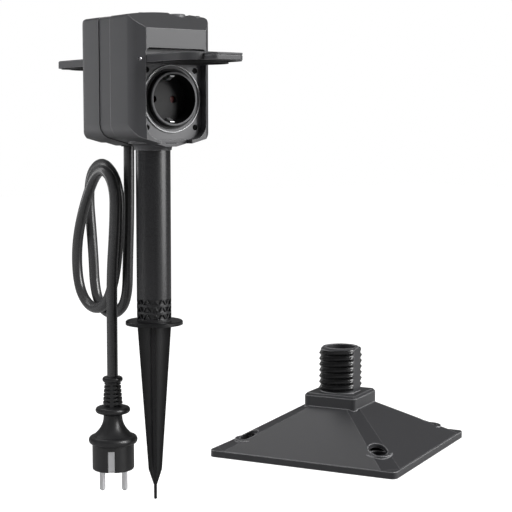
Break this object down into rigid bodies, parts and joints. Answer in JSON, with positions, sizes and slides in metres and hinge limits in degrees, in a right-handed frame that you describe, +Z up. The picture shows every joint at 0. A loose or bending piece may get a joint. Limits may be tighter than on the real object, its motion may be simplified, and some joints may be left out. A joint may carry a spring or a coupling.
{
  "type": "garden socket spike",
  "caption": "Outdoor double mains socket housing with flip-up lids on a pole with a finned ground spike, a looped mains lead with a round plug, and a loose screw-down base.",
  "frame": {"origin": "on the pole's axis at the underside of the spike's flange, the ground line", "axes": "+Z up along the pole; -Y is the way the front socket faces; +X to the right seen from the front"},
  "size_m": [0.2547, 0.6282, 0.4062],
  "materials": {
    "housing_plastic": "fine matte",
    "plate_plastic": "fine matte",
    "socket_plastic": "satin",
    "gloss_ring": "gloss",
    "black_rubber": "matte",
    "bright_steel": "bright",
    "black_steel": "blackened",
    "contact_brass": "satin",
    "inner_plastic": "matte",
    "shutter_red": "satin",
    "lid_plastic": "fine matte",
    "button_plastic": "satin",
    "board_laminate": "satin",
    "lens_plastic": "frosted",
    "relay_plastic": "gloss",
    "capacitor_can": "satin",
    "cord_rubber": "satin",
    "plug_rubber": "satin",
    "pole_plastic": "satin",
    "spike_plastic": "satin",
    "base_plastic": "satin"
  },
  "bodies": {
    "socket_spike": {"front_housing": "housing_plastic", "rear_housing": "housing_plastic", "housing_seal": "black_rubber", "front_socket_plate": "plate_plastic", "front_socket_insert": "socket_plastic", "front_bezel_ring": "gloss_ring", "front_ring_gasket": "black_rubber", "front_earth_clips": "bright_steel", "front_contact_block": "inner_plastic", "front_contact_sleeves": "contact_brass", "front_plate_screws": "black_steel", "front_hinge_pin": "bright_steel", "rear_socket_plate": "plate_plastic", "rear_socket_insert": "socket_plastic", "rear_bezel_ring": "gloss_ring", "rear_ring_gasket": "black_rubber", "rear_earth_clips": "bright_steel", "rear_contact_block": "inner_plastic", "rear_contact_sleeves": "contact_brass", "rear_plate_screws": "black_steel", "rear_hinge_pin": "bright_steel", "button_seal": "black_rubber", "button_board": "board_laminate", "push_switch": "inner_plastic", "indicator_lens": "lens_plastic", "control_board": "board_laminate", "relays": "relay_plastic", "power_module": "inner_plastic", "radio_module": "bright_steel", "terminal_block": "relay_plastic", "capacitor": "capacitor_can", "cord_grommet": "black_rubber", "cord_clamp": "inner_plastic", "cord_drop": "cord_rubber", "cord_loops": "cord_rubber", "cord_tail": "cord_rubber", "plug_body": "plug_rubber", "plug_pins": "bright_steel", "plug_earth_strips": "bright_steel", "pole": "pole_plastic", "pole_pin": "bright_steel", "spike_seal": "black_rubber", "ground_spike": "spike_plastic", "mounting_base": "base_plastic"},
    "front_lid": {"front_lid": "lid_plastic", "front_lid_seal": "black_rubber"},
    "rear_lid": {"rear_lid": "lid_plastic", "rear_lid_seal": "black_rubber"},
    "power_button": {"power_button": "button_plastic"},
    "front_shutter": {"front_shutter": "shutter_red"},
    "rear_shutter": {"rear_shutter": "shutter_red"}
  },
  "joints": [
    {"name": "front_lid_hinge", "type": "hinge", "parent": "socket_spike", "child": "front_lid", "pos_m": [0, -0.033, 0.2182], "axis": [1, 0, 0], "range_deg": [0, 90]},
    {"name": "rear_lid_hinge", "type": "hinge", "parent": "socket_spike", "child": "rear_lid", "pos_m": [0, 0.057, 0.2182], "axis": [1, 0, 0], "range_deg": [-90, 0]},
    {"name": "power_button_press", "type": "slide", "parent": "socket_spike", "child": "power_button", "axis": [0, 0, -1], "range_m": [0, 0.0008], "stiffness_N_per_m": 800, "springref_m": -0.0005},
    {"name": "front_shutter_turn", "type": "hinge", "parent": "socket_spike", "child": "front_shutter", "pos_m": [0, -0.0122, 0.187], "axis": [0, 1, 0], "range_deg": [0, 40], "stiffness_Nm_per_rad": 0.01, "springref_deg": -11.46},
    {"name": "rear_shutter_turn", "type": "hinge", "parent": "socket_spike", "child": "rear_shutter", "pos_m": [0, 0.0362, 0.187], "axis": [0, 1, 0], "range_deg": [0, 40], "stiffness_Nm_per_rad": 0.01, "springref_deg": -11.46}
  ]
}
